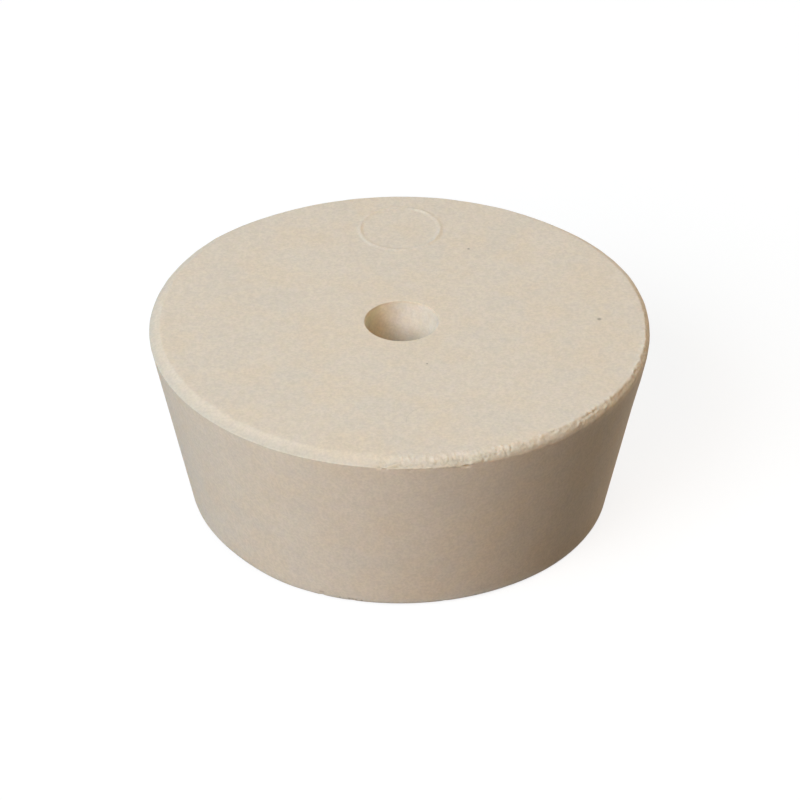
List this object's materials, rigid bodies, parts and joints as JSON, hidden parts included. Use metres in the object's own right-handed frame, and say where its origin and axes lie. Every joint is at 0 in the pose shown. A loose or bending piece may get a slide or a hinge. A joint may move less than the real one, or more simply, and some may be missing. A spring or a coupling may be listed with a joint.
{
  "type": "rubber stopper",
  "caption": "Tapered round laboratory stopper in cream rubber, with one straight hole through its middle for a tube and a plain raised ring on its large end.",
  "frame": {"origin": "centre of the small end face, on the hole's axis, where the stopper stands", "axes": "+Z along the hole, from the small end up to the large end; the raised ring lies towards +Y"},
  "size_m": [0.064, 0.064, 0.0252],
  "materials": {
    "rubber": "matte"
  },
  "bodies": {
    "root": {"stopper": "rubber"}
  },
  "joints": []
}
